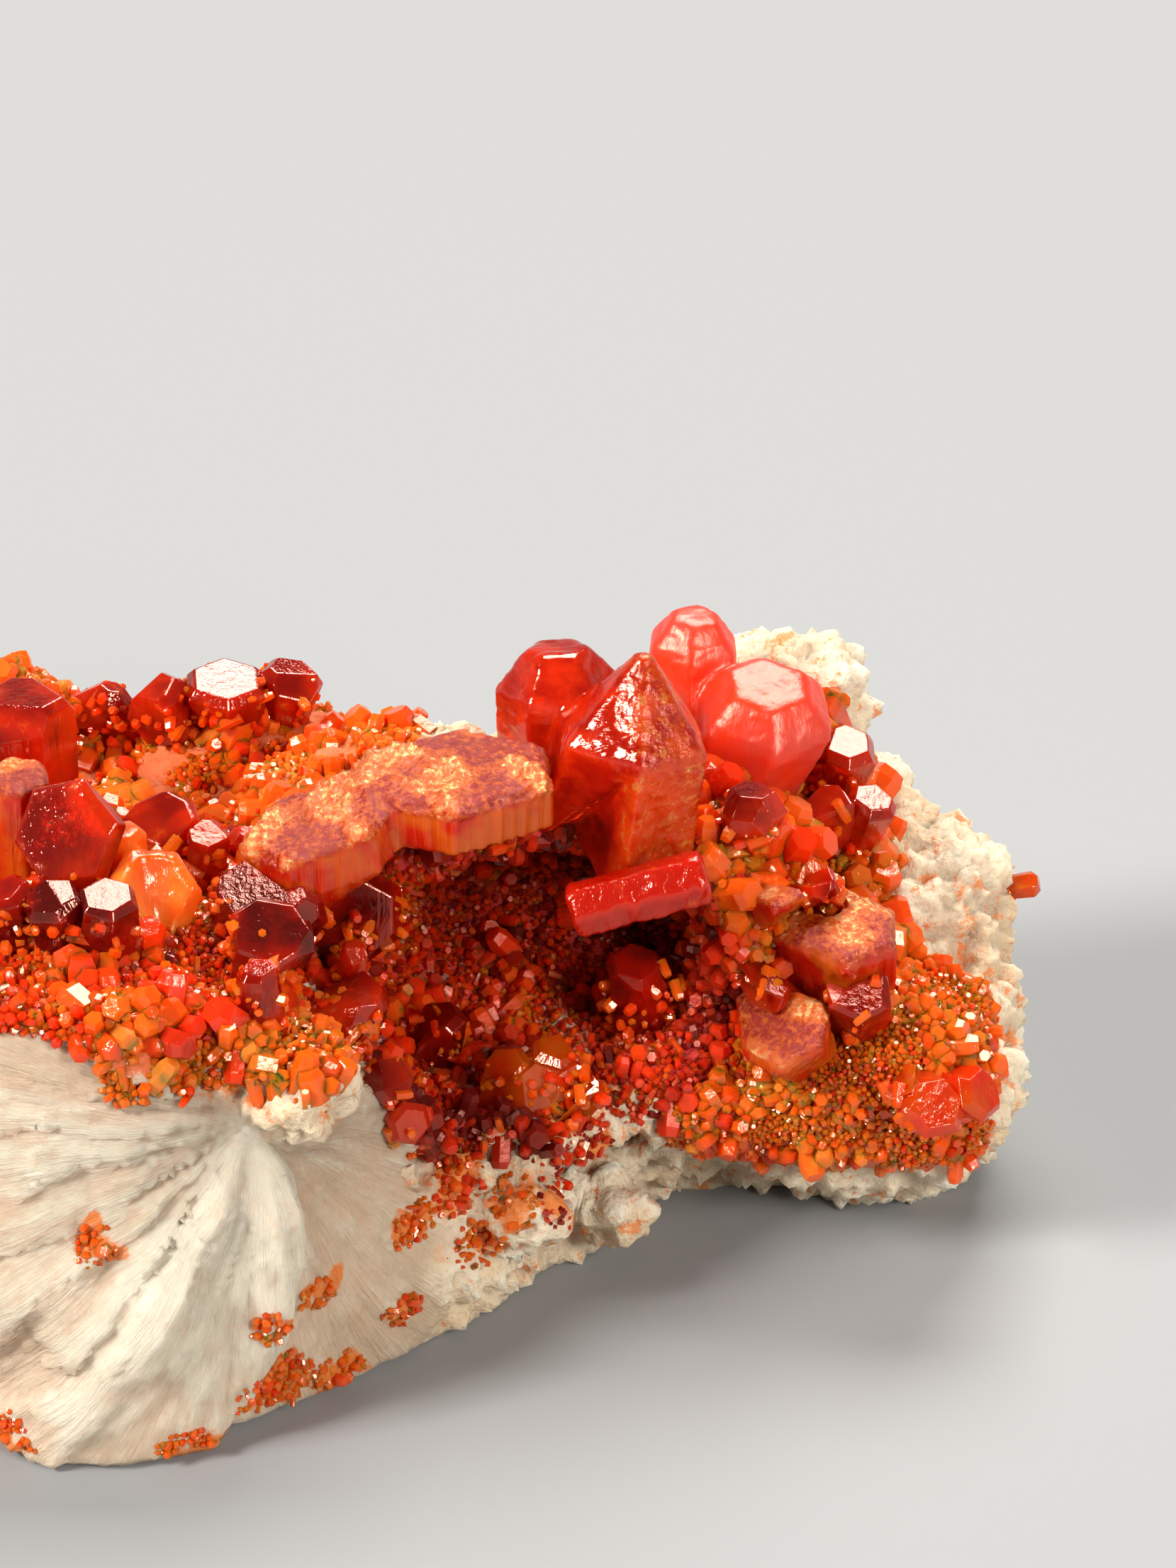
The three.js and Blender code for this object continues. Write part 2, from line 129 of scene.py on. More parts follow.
def finish_piece(bm, name, finish, smooth=False, replaced=()):
    """Stores a bmesh in millimetres as a piece of the specimen."""
    bm.transform(Matrix.Scale(MM, 4))
    mesh = bpy.data.meshes.new(name)
    bm.to_mesh(mesh)
    bm.free()
    for face in mesh.polygons:
        face.use_smooth = smooth
    mesh.materials.append(finish)
    piece = bpy.data.objects.new(name, mesh)
    bpy.context.scene.collection.objects.link(piece)
    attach(piece, "root")
    if replaced:
        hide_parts(*replaced)
    return piece


# ---- shader maths --------------------------------------------------------------------------------


class Wire:
    """One output of a shader node. Arithmetic on it adds Math nodes to its finish."""

    def __init__(self, finish, socket):
        self.finish = finish
        self.socket = socket

    def math(self, operation, *values):
        return self.finish.node("Math", {"operation": operation}, dict(enumerate(values)))

    def __add__(self, other):
        return self.math("ADD", self, other)

    def __sub__(self, other):
        return self.math("SUBTRACT", self, other)

    def __rsub__(self, other):
        return self.math("SUBTRACT", other, self)

    def __mul__(self, other):
        return self.math("MULTIPLY", self, other)

    __radd__ = __add__
    __rmul__ = __mul__

    def between(self, low, high):
        """0 below low, 1 above high, with a smooth change."""
        settings = {"interpolation_type": "SMOOTHSTEP"}
        return self.finish.node("MapRange", settings, {"Value": self, 1: low, 2: high})


class Finish:
    """A material being wired up."""

    def __init__(self, name):
        self.material = bpy.data.materials.new(name)
        self.material.use_nodes = True
        self.tree = self.material.node_tree
        self.tree.nodes.clear()

    def node(self, kind, settings=None, sockets=None, output=0):
        """Adds a node with its settings, then the values or wires of its sockets."""
        made = self.tree.nodes.new("ShaderNode" + kind)
        for setting, value in (settings or {}).items():
            setattr(made, setting, value)
        for socket, value in (sockets or {}).items():
            if isinstance(value, Wire):
                self.tree.links.new(value.socket, made.inputs[socket])
            else:
                made.inputs[socket].default_value = value
        return Wire(self, made.outputs[output] if made.outputs else None)

    def place(self, scale=(1, 1, 1)):
        """Object coordinates in millimetres, stretched by a scale."""
        where = self.node("TexCoord", output=3)
        per_metre = [share / MM for share in scale]
        return self.node("VectorMath", {"operation": "MULTIPLY"}, {0: where, 1: per_metre})

    def clouds(self, vector, size, detail=3.0, roughness=0.55):
        """Noise from 0 to 1 whose largest shapes are size millimetres wide."""
        sockets = {"Vector": vector, "Scale": 1 / size, "Detail": detail, "Roughness": roughness}
        return self.node("TexNoise", None, sockets)

    def cells(self, vector, size):
        """Distance from the middle of the nearest cell; cells are size millimetres wide."""
        return self.node("TexVoronoi", None, {"Vector": vector, "Scale": 1 / size})

    def attribute(self, name):
        """A value stored on the piece's points."""
        return self.node("Attribute", {"attribute_name": name}, output=2)

    def mix(self, share, first, second):
        """A colour that goes from the first to the second."""
        first, second = [c if isinstance(c, Wire) else (*c, 1) for c in (first, second)]
        sockets = {0: share, 6: first, 7: second}
        return self.node("Mix", {"data_type": "RGBA"}, sockets, output=2)

    def bump(self, height, depth):
        """A normal from a height of 0 to 1 that stands for depth millimetres."""
        return self.node("Bump", None, {"Height": height, "Distance": depth * MM})

    def end(self, sockets):
        """Closes the finish with a Principled shader."""
        shader = self.node("BsdfPrincipled", None, sockets)
        self.node("OutputMaterial", None, {"Surface": shader})
        return self.material


# ---- finishes ------------------------------------------------------------------------------------

CREAM = (0.68, 0.50, 0.30)
CHALK = (0.76, 0.63, 0.44)
PEARL = (0.72, 0.64, 0.49)
BUFF = (0.46, 0.32, 0.20)
BLUSH = (0.60, 0.43, 0.29)
RUST = (0.72, 0.19, 0.025)
MAROON = (0.13, 0.005, 0.004)
GARNET = (0.30, 0.005, 0.002)
BLOOD = (0.54, 0.010, 0.002)
SCARLET = (0.88, 0.038, 0.003)
ROSE = (0.74, 0.055, 0.028)
FLAME = (0.95, 0.13, 0.005)
EMBER = (0.62, 0.10, 0.005)
AMBER = (0.93, 0.26, 0.030)
HONEY = (0.92, 0.60, 0.22)
GLINT = (1.0, 0.44, 0.33, 1)  # tint of the reflections on the crystals


def barite_finish():
    """White to cream barite: pearly blade streaks, grains, rust by the crusts, painted shade and
    highlights.
    """
    finish = Finish("barite")
    place = finish.place()
    fan = finish.attribute("fan")
    white_and_shade = finish.attribute("white_and_shade")
    cover = finish.attribute("cover")
    stain = finish.attribute("stain")
    lump = finish.attribute("lump")
    along = {"X": finish.attribute("blade_turn") * 70, "Y": finish.attribute("blade_reach") * 0.45}
    fibres = finish.clouds(finish.node("CombineXYZ", None, along), 1.0, 5, 0.65)
    broad = finish.clouds(place, 4.0, 4, 0.6)
    grains = finish.clouds(place, 0.5, 5, 0.7)
    colour = finish.mix(broad.between(0.38, 0.66), CHALK, CREAM)
    colour = finish.mix(grains.between(0.58, 0.34) * 0.45, colour, BUFF)
    # Sheet of the fan: the blades' own white, with the painted shade down the bundle.
    sheet = finish.mix((white_and_shade + fibres * 0.8 + broad * 0.6).between(0.80, 1.45), BLUSH, PEARL)
    sheet = finish.mix(broad.between(0.45, 0.65) * (1 - white_and_shade) * 0.7, sheet, BUFF)
    colour = finish.mix(fan * 0.9, colour, sheet)
    # Painted shade: darker buff in the rock's hollows. Painted highlight: paler on its lumps.
    colour = finish.mix(lump.between(0.1, -0.5) * (0.6 - fan * 0.5), colour, BUFF)
    colour = finish.mix(lump.between(0.2, 0.7) * (0.8 - fan * 0.8), colour, PEARL)
    tint = (finish.clouds(place, 1.1, 5, 0.75) + cover * 0.10 - lump * 0.06).between(0.55, 0.63)
    colour = finish.mix(tint * (0.85 - fan * 0.75), colour, RUST)
    # Painted shade: the rock under the crusts is dark red, for the red shade between the crystals.
    colour = finish.mix((cover + grains).between(1.15, 1.40) * 0.95, colour, EMBER)
    # Painted shade: the rock in the hollow is deep red.
    colour = finish.mix((finish.attribute("depth") + grains * 0.5).between(0.8, 1.2), colour, BLOOD)
    stained = (stain * 0.8 + fibres * 0.4 + grains).between(1.15, 1.45)
    colour = finish.mix(stained, colour, RUST)
    sugar = finish.cells(place, 0.34)
    relief = fibres * fan * 1.3 + (grains - sugar * 0.4) * (1 - fan * 0.85)
    return finish.end(
        {
            "Base Color": colour,
            "Roughness": 0.75 - fan * fibres * 0.45,
            "IOR": 1.64,
            "Subsurface Weight": 0.35,
            "Subsurface Radius": (1.0, 0.7, 0.45),
            "Subsurface Scale": 0.9 * MM,
            "Normal": finish.bump(relief, 0.26),
        }
    )


def crystal_finish(name, deep, bright, flecks, grooves=0.03, haze=0.04, clear=0.6):
    """Vanadinite: a glowing body colour under a very bright skin, grooved along the prism."""
    finish = Finish(name)
    place = finish.place()
    growth = finish.clouds(place, 3.2, 3, 0.5)
    veins = finish.clouds(place, 0.8, 5, 0.7)
    colour = finish.mix(growth.between(0.38, 0.66), deep, bright)
    colour = finish.mix(veins.between(0.58, 0.76) * 0.6, colour, flecks)
    lines = finish.clouds(finish.place((1, 1, 0.06)), 0.28, 3, 0.6)
    return finish.end(
        {
            "Base Color": colour,
            "Roughness": haze + veins.between(0.5, 0.8) * 0.18,
            "IOR": 1.95,
            "Specular Tint": GLINT,
            "Transmission Weight": clear,
            "Subsurface Weight": 0.8,
            "Subsurface Radius": (1.0, 0.16, 0.05),
            "Subsurface Scale": 1.6 * MM,
            "Normal": finish.bump(lines + growth, grooves),
        }
    )


def etched_finish():
    """Etched vanadinite: red walls grooved along the prism, a pitted top with honey-coloured glitter."""
    finish = Finish("etched vanadinite")
    place = finish.place()
    top = finish.attribute("top")
    rough = finish.attribute("rough")
    growth = finish.clouds(place, 2.4, 3, 0.5)
    glitter = finish.clouds(place, 0.3, 5, 0.8)
    flakes = finish.cells(place, 0.42)
    lines = finish.clouds(finish.place((1, 1, 0.05)), 0.35, 4, 0.65)
    walls = finish.mix(growth.between(0.42, 0.62), BLOOD, EMBER)
    walls = finish.mix(lines.between(0.58, 0.74) * 0.6, walls, FLAME)
    patches = glitter + rough * 0.25
    crown = finish.mix(patches.between(0.52, 0.68), GARNET, EMBER)
    foil = patches.between(0.73, 0.82) * 0.85
    crown = finish.mix(foil, crown, HONEY)
    return finish.end(
        {
            "Base Color": finish.mix(top, walls, crown),
            "Roughness": 0.04 + glitter.between(0.4, 0.7) * 0.10,
            "Metallic": foil * top * 0.9,
            "IOR": 1.9,
            "Specular Tint": GLINT,
            "Transmission Weight": 0.35,
            "Subsurface Weight": 0.6,
            "Subsurface Radius": (1.0, 0.2, 0.06),
            "Subsurface Scale": 1.2 * MM,
            "Normal": finish.bump(lines * (1 - top) + (flakes + glitter) * top, 0.12),
        }
    )


def summit_finish():
    """The two largest crystals: clear red with an amber, glittering zone down the right-hand side."""
    finish = Finish("summit vanadinite")
    place = finish.place()
    low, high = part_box("crystal_summit_twin")
    across = finish.node("SeparateXYZ", None, {0: place}, output=0)
    inner = (low.x + 0.56 * (high.x - low.x)) / MM
    outer = (low.x + 0.74 * (high.x - low.x)) / MM
    growth = finish.clouds(place, 2.2, 4, 0.6)
    glitter = finish.clouds(place, 0.5, 5, 0.75)
    zone = (across + growth * 3 - 1.5).between(inner, outer)
    colour = finish.mix(growth.between(0.4, 0.62), BLOOD, SCARLET)
    colour = finish.mix(zone * growth.between(0.35, 0.5) * 0.55, colour, FLAME)
    colour = finish.mix(zone * glitter.between(0.52, 0.62), colour, AMBER)
    flakes = finish.cells(place, 0.5)
    foil = zone * glitter.between(0.60, 0.70)
    colour = finish.mix(foil, colour, HONEY)
    lines = finish.clouds(finish.place((0.25, 1, 1)), 0.30, 4, 0.6)
    return finish.end(
        {
            "Base Color": colour,
            "Roughness": 0.04 + glitter.between(0.4, 0.7) * 0.10,
            "Metallic": foil * 0.7,
            "IOR": 1.95,
            "Specular Tint": GLINT,
            "Transmission Weight": 0.6,
            "Subsurface Weight": 0.8,
            "Subsurface Radius": (1.0, 0.16, 0.05),
            "Subsurface Scale": 1.6 * MM,
            "Normal": finish.bump(lines * 0.4 + zone * (flakes + glitter) * 0.8, 0.08),
        }
    )


def druse_finish(name, haze, index):
    """Small crystals, each with its own tone from dark red over scarlet to amber."""
    finish = Finish(name)
    place = finish.place()
    tone = finish.attribute("tone")
    colour = finish.mix(tone.between(-0.05, 0.35), MAROON, SCARLET)
    colour = finish.mix(tone.between(0.30, 0.65), colour, FLAME)
    colour = finish.mix(tone.between(0.70, 1.1), colour, AMBER)
    grain = finish.clouds(place, 0.3, 3, 0.6)
    return finish.end(
        {
            "Base Color": colour,
            "Roughness": haze + grain.between(0.45, 0.8) * 0.25,
            "IOR": index,
            "Specular Tint": GLINT,
            "Transmission Weight": 0.25,
            "Subsurface Weight": 1.0,
            "Subsurface Radius": (1.0, 0.2, 0.06),
            "Subsurface Scale": 0.8 * MM,
            "Normal": finish.bump(grain, 0.03),
        }
    )


# ---- barite block --------------------------------------------------------------------------------

VOXEL = 0.28
HUB = place_in("crust_front_brim", (0.48, 0.35, 0.12))
BUNDLE_LEFT = math.radians(-122)
BUNDLE_RIGHT = math.radians(-62)  # at the hub; the edge curves to the left from there
BUNDLE_CURVE = math.radians(-2.9)  # per millimetre
BUNDLE_RISE = 1.1
SOLE_BAND = 0.6  # height over the sole in which the relief fades out

# Patches of small crystals on the bare front (-1) and back (1): the side, shares of the block's
# length and height, radius of the patch in millimetres, number of crystals and their tone.
PATCHES = [
    (-1, 0.345, 0.46, 0.7, 24, 0.6),
    (-1, 0.46, 0.27, 0.7, 14, 0.6),
    (-1, 0.49, 0.26, 0.6, 14, 0.7),
    (-1, 0.555, 0.31, 0.8, 20, 0.6),
    (-1, 0.545, 0.14, 0.7, 18, 0.5),
    (-1, 0.46, 0.09, 1.3, 50, 0.6),
    (-1, 0.50, 0.05, 1.0, 30, 0.7),
    (-1, 0.40, 0.02, 1.1, 30, 0.6),
    (-1, 0.22, 0.40, 1.2, 30, 0.6),
    (-1, 0.21, 0.16, 1.3, 36, 0.6),
    (-1, 0.27, 0.03, 1.4, 46, 0.6),
    (-1, 0.565, 0.42, 0.8, 24, 0.5),
    (-1, 0.60, 0.22, 0.9, 30, 0.6),
    (-1, 0.585, 0.34, 1.0, 40, 0.5),
    (-1, 0.625, 0.30, 0.9, 34, 0.7),
    (-1, 0.67, 0.31, 1.5, 90, 0.1),
    (-1, 0.10, 0.30, 1.6, 50, 0.6),
    (-1, 0.14, 0.10, 1.4, 40, 0.6),
    (1, 0.31, 0.30, 2.6, 150, 0.5),
    (1, 0.37, 0.12, 1.6, 60, 0.6),
    (1, 0.73, 0.36, 2.2, 120, 0.5),
    (1, 0.55, 0.55, 1.5, 60, 0.6),
    (1, 0.16, 0.50, 1.8, 70, 0.6),
]


def fan_share(point, normal):
    """How much a point belongs to the fan of blades: 1 on the front below the hub, 0 elsewhere."""
    along = point.x - HUB.x
    top = HUB.z + (-0.55 * along if along < 0 else -0.9 * smooth_step(0.3, 1.2, along))
    below = smooth_step(0.5, -0.5, point.z - top)
    facing = smooth_step(0.1, -0.5, normal.y)
    ragged = 1.2 * noise.noise(point * 0.5)
    to_the_right = smooth_step(7.5, 5.5, point.x - HUB.x + ragged)
    return below * facing * to_the_right


def fan_place(point):
    """A point's turn around the hub in radians, from -270 to 90 degrees, and its reach."""
    reach = math.hypot(point.x - HUB.x, point.z - HUB.z)
    turn = math.atan2(point.z - HUB.z, point.x - HUB.x)
    if turn > math.pi / 2:
        turn -= 2 * math.pi
    return turn, reach


def blades(turn, reach, count, seed, longest):
    """Overlapping blades: each rises to a sharp free edge and ends at its own ragged reach."""
    wander = 0.12 * noise.noise(Vector((turn * 2.5, reach * 0.2, seed)))
    step = (turn + wander) * count / math.tau
    blade = math.floor(step)
    luck = noise.cell(Vector((blade + 0.5, seed, 0.5)))
    end = longest * (0.35 + 0.65 * luck) + 1.2 * noise.noise(Vector((turn * 30, 0, seed)))
    return smooth_step(end, end - 0.4, reach) * (0.4 + 0.6 * (step - blade))


def bundle_share(turn, reach):
    """1 on the raised bundle of the fan; its right edge is steep and its left edge is soft."""
    right = max(BUNDLE_RIGHT + BUNDLE_CURVE * reach, math.radians(-98))
    return smooth_step(right + 0.03, right - 0.05, turn) * smooth_step(
        BUNDLE_LEFT - 0.28, BUNDLE_LEFT, turn
    )


def fan_relief(turn, reach):
    """Height of the fan's blades in millimetres and how white they are, with painted shade down the
    bundle.
    """
    bundle = bundle_share(turn, reach)
    ragged = smooth_step(BUNDLE_LEFT + 0.1, BUNDLE_LEFT - 0.2, turn)
    field = 1 - max(bundle, ragged)
    fine = 0.5 * blades(turn, reach, 110, 5, 22) + 0.5 * blades(turn, reach, 70, 9, 18)
    coarse = 0.6 * blades(turn, reach, 30, 17, 22) + 0.4 * blades(turn, reach, 19, 31, 9)
    from_hub = smooth_step(0.5, 4.0, reach)
    height = bundle * (BUNDLE_RISE + 0.35 * fine + 0.45 * coarse)
    height += ragged * (0.30 * fine + 0.85 * coarse - 0.3)
    height += field * (0.22 * fine + 0.25 * coarse - 0.15)
    # The bundle is whitest near the hub and duller further down: painted shade. The rest is the blades'
    # own white.
    white = bundle * (0.25 + 0.55 * smooth_step(14, 5, reach) + 0.2 * coarse)
    white += ragged * (0.1 + 0.7 * coarse) + field * (0.05 + 0.35 * fine)
    feathers = noise.fractal(Vector((turn * 14, reach * 0.45, 0)), 0.8, 2.0, 4)
    return (height + 0.18 * feathers) * from_hub, white + 0.4 * feathers


def broken_height(point):
    """Height of granular broken rock: lumps, chips and grains."""
    lumps = noise.fractal(point * 0.26, 1.0, 2.1, 3)
    chips = noise.voronoi(point * 0.8)[0][0]
    grains = noise.voronoi(point * 1.9)[0][0]
    return 0.8 * lumps + 1.15 * (0.5 - chips) + 0.75 * (0.45 - grains)


PATCH_PLACES = [
    (side, place_in(BLOCK, (along, 0, up)), *rest) for side, along, up, *rest in PATCHES
]


def stain_at(point, way):
    """1 in the patches of small crystals on the front or back, 0 away from them."""
    return max(
        smooth_step(1.6 * reach, 0.6 * reach, math.hypot(point.x - aim.x, point.z - aim.z))
        for side, aim, reach, _, _ in PATCH_PLACES
        if side * way > 0
    )


def barite_block():
    """The block with its relief, and the values that its finish reads on its points."""
    bm = with_voxels(solid_of(BLOCK), VOXEL)
    soften(bm, 7)
    bm.normal_update()
    names = ["fan", "white_and_shade", "blade_turn", "blade_reach", "cover", "depth", "stain", "lump"]
    layers = [bm.verts.layers.float.new(name) for name in names]
    hollow = Crust("crust_hollow")
    crusts = [Crust(node) for node in CRUSTS]
    moves = []
    for vert in bm.verts:
        point = vert.co
        fan = fan_share(point, vert.normal)
        turn, reach = fan_place(point)
        relief, white = fan_relief(turn, reach)
        lump = broken_height(point)
        cover = max(crust.cover(point) for crust in crusts)
        height = (1 - fan) * (1 - 0.6 * cover) * lump + fan * relief
        stain = 0
        if abs(vert.normal.y) > 0.1:
            stain = stain_at(point + 0.8 * noise.noise_vector(point), vert.normal.y)
        # How deep in the hollow a point lies, which sets the hollow's painted shade.
        depth = hollow.cover(point)
        for layer, value in zip(layers, (fan, white, turn, reach, cover, depth, stain, lump)):
            vert[layer] = value
        moves.append(vert.normal * (0.3 + height) * smooth_step(0, SOLE_BAND, point.z))
    for vert, move in zip(bm.verts, moves):
        vert.co += move
        vert.co.z = max(vert.co.z, 0)
    blades_only = [vert for vert in bm.verts if vert[layers[0]] > 0.5 and vert.co.z > SOLE_BAND]
    soften(bm, 1, 0.25, blades_only)
    return bm


# ---- large crystals ------------------------------------------------------------------------------

CLEARANCE = 0.3  # the gap that the solids keep
INFLATE = 0.1
EDGE = 0.07  # width of the bevels
FOOT = 0.6  # depth to which a large crystal goes down into the rock
FINE_VOXEL = 0.13  # for worn and etched crystals
CHIPS = 4  # corners broken off each sound crystal
CHIP_DEPTHS = (0.04, 0.11)  # shares of the crystal's length
SAME_FACE = math.radians(4)
SHARP = math.radians(12)
WORN = {"crystal_back_dome": 14, "crystal_summit_twin": 9}  # rounds of smoothing
ETCHED = {
    "crystal_etched_slab": 0.30,
    "crystal_left_etched": 0.10,
    "crystal_honeycomb_table": 0.12,
    "crystal_broken_plates": 0.08,
    "crystal_lying_prism": 0.05,
    "crystal_tilted_plate": 0.06,
    "crystal_squat_table": 0.05,
}


def root_in(bm, ground, rock):
    """Draws the foot of a crystal down through the crust into the rock. Returns the foot's verts."""
    foot = [v for v in bm.verts if ground.find_nearest(v.co)[3] < 1.25 * CLEARANCE]
    for vert in foot:
        below, _, _, depth = rock.find_nearest(vert.co)
        down = (below - vert.co).normalized()
        vert.co += down * (depth + FOOT)
    return set(foot)


def etch(bm, depth):
    """Pits the faces that look up and grooves the walls."""
    bm = with_voxels(bm, FINE_VOXEL)
    soften(bm, 2)
    bm.normal_update()
    top_layer = bm.verts.layers.float.new("top")
    rough_layer = bm.verts.layers.float.new("rough")
    moves = []
    for vert in bm.verts:
        point = vert.co
        up = smooth_step(0.15, 0.6, vert.normal.z)
        vert[top_layer] = up
        pits = noise.fractal(point * 1.3, 0.7, 2.2, 4) + 0.7 * noise.voronoi(point * 2.6)[0][0]
        grooves = noise.noise(Vector((point.x * 3, point.y * 3, point.z * 0.2)))
        rough = 0.25 + 0.75 * smooth_step(-0.15, 0.2, noise.noise(point * 0.45))
        vert[rough_layer] = rough
        moves.append(vert.normal * (depth * pits * up * rough + 0.13 * grooves * (1 - up)))
    for vert, move in zip(bm.verts, moves):
        vert.co += move
    return bm


def wear(bm):
    """Gives worn faces shallow steps and dents."""
    bm.normal_update()
    moves = []
    for vert in bm.verts:
        dents = noise.fractal(vert.co * 0.7, 0.9, 2.0, 3)
        steps = noise.noise(Vector((vert.co.x, vert.co.y, vert.co.z * 3.0)) * 0.8)
        moves.append(vert.normal * (0.03 * dents + 0.03 * smooth_step(0.08, 0.14, steps)))
    for vert, move in zip(bm.verts, moves):
        vert.co += move


def chip(bm, draw):
    """Breaks small pieces off the upper corners of a crystal, each along a flat face."""
    for _ in range(CHIPS):
        way = Vector((draw.gauss(0, 1), draw.gauss(0, 1), abs(draw.gauss(0, 0.8)))).normalized()
        reaches = [vert.co.dot(way) for vert in bm.verts]
        depth = draw.uniform(*CHIP_DEPTHS) * (max(reaches) - min(reaches))
        bmesh.ops.bisect_plane(
            bm,
            geom=[*bm.verts, *bm.edges, *bm.faces],
            plane_co=way * (max(reaches) - depth),
            plane_no=way,
            clear_outer=True,
        )
        bmesh.ops.holes_fill(bm, edges=[edge for edge in bm.edges if edge.is_boundary], sides=0)
    bmesh.ops.recalc_face_normals(bm, faces=bm.faces)


def large_crystal(node, ground, rock):
    """A CAD crystal chipped, rooted in the rock, bevelled, and worn or etched where it is so."""
    bm = solid_of(node)
    bmesh.ops.dissolve_limit(
        bm, angle_limit=SAME_FACE, verts=bm.verts, edges=bm.edges, delimit={"NORMAL"}
    )
    if node not in WORN and node not in ETCHED:
        chip(bm, random.Random(node))
    foot = root_in(bm, ground, rock)
    bm.normal_update()
    for vert in [v for v in bm.verts if v not in foot]:
        vert.co += vert.normal * INFLATE
    sharp = [
        edge
        for edge in bm.edges
        if not foot.intersection(edge.verts) and edge.calc_face_angle(0) > SHARP
    ]
    bmesh.ops.bevel(
        bm,
        geom=sharp,
        offset=EDGE,
        segments=2,
        profile=0.5,
        affect="EDGES",
        material=-1,
        clamp_overlap=True,
    )
    bmesh.ops.dissolve_degenerate(bm, dist=0.001, edges=bm.edges)
    if node in WORN:
        bm = with_voxels(bm, FINE_VOXEL)
        soften(bm, WORN[node])
        wear(bm)
    return etch(bm, ETCHED[node]) if node in ETCHED else bm


# ---- small crystals ------------------------------------------------------------------------------

# For each crust: how many crystals at most, their smallest and largest radius, the tone they vary
# around, how much of the rock they leave bare, and the edges they fade towards: an axis, and the
# shares of the crust's box at which the crystals are full and at which they have stopped.
DRUSES = {
    "crust_left_bank": (4000, 0.14, 0.65, 0.42, 0.08, []),
    "crust_back_rim": (3000, 0.14, 0.65, 0.70, 0.48, []),
    "crust_front_brim": (2500, 0.13, 0.55, 0.70, 0.42, [(2, 0.62, 0.30)]),
    # The hollow's low tone darkens its crystals: painted shade.
    "crust_hollow": (2600, 0.14, 0.50, 0.20, 0.05, [(2, 0.22, 0.10)]),
    "crust_right_bank": (4500, 0.13, 0.90, 0.60, 0.10, [(0, 0.78, 0.97)]),
    "crust_right_apron": (6500, 0.12, 0.45, 0.60, 0.08, [(0, 0.86, 0.94), (2, 0.16, 0.06)]),
}
PACKING = 0.62  # closest centres as a share of two radii
COVER_REACH = 1.5  # distance from a crust over which the rock's rust and painted red shade fade
ROOT = 0.5  # depth to which a small crystal goes down into the rock


class Crust:
    """Where one crust of small crystals lies, and where it thins out."""

    def __init__(self, node):
        self.surface = surface_of([node])
        self.low, self.high = [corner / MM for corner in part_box(node)]
        self.fades = DRUSES[node][-1]

    def fullness(self, point):
        """1 where the crystals stand close, 0 where the crust has thinned out."""
        fullness = 1
        for axis, full, empty in self.fades:
            share = (point - self.low)[axis] / (self.high - self.low)[axis]
            fullness *= smooth_step(empty, full, share)
        return fullness

    def cover(self, point):
        """1 on rock under the crystals, 0 away from them."""
        distance = self.surface.find_nearest(point, COVER_REACH)[3]
        if distance is None:
            return 0
        return smooth_step(COVER_REACH, 0.3, distance) * self.fullness(point)


def bud():
    """A small hexagonal crystal of radius 1 and height 1, with its end bevelled."""
    bm = bmesh.new()
    bmesh.ops.create_cone(bm, cap_ends=True, segments=6, radius1=1, radius2=1, depth=1)
    bmesh.ops.translate(bm, verts=bm.verts, vec=UP / 2)
    rim = [e for e in bm.edges if all(v.co.z > 0.9 for v in e.verts)]
    bmesh.ops.bevel(
        bm, geom=rim, offset=0.22, segments=1, profile=0.5, affect="EDGES", material=-1
    )
    mesh = bpy.data.meshes.new("bud")
    bm.to_mesh(mesh)
    bm.free()
    return mesh


class Thicket:
    """Small crystals set out so that they crowd but don't bury each other."""

    def __init__(self, seed):
        self.random = random.Random(seed)
        self.cells = {}
        self.places = []

    def is_free(self, point, radius):
        cell = [math.floor(c) for c in point]
        for step in range(27):
            key = (cell[0] + step % 3 - 1, cell[1] + step // 3 % 3 - 1, cell[2] + step // 9 - 1)
            for other, reach in self.cells.get(key, ()):
                if (other - point).length < PACKING * (radius + reach):
                    return False
        return True

    def add(self, point, normal, radius, tone):
        """Sets a crystal on a point of the rock, if there is room."""
        if point.z < ROOT + radius or not self.is_free(point, radius):
            return
        self.cells.setdefault(tuple(math.floor(c) for c in point), []).append((point, radius))
        lean = Vector([self.random.gauss(0, 0.42) for _ in range(3)])
        axis = (normal + lean).normalized()
        height = radius * self.random.uniform(0.9, 2.4)
        turn = axis.to_track_quat("Z", "Y").to_matrix().to_4x4()
        spin = Matrix.Rotation(self.random.uniform(0, math.tau), 4, "Z")
        size = Matrix.Diagonal((radius, radius, height + ROOT, 1))
        place = Matrix.Translation(point - axis * ROOT) @ turn @ spin @ size
        self.places.append((place, tone))

    def build(self, template):
        """All the crystals as one bmesh, each with its tone."""
        corners = [vert.co.copy() for vert in template.vertices]
        bm = bmesh.new()
        for place, _ in self.places:
            for vert, corner in zip(template.vertices, corners):
                vert.co = place @ corner
            bm.from_mesh(template)
        for vert, corner in zip(template.vertices, corners):
            vert.co = corner
        tone_layer = bm.verts.layers.float.new("tone")
        for index, vert in enumerate(bm.verts):
            vert[tone_layer] = self.places[index // len(corners)][1]
        return bm


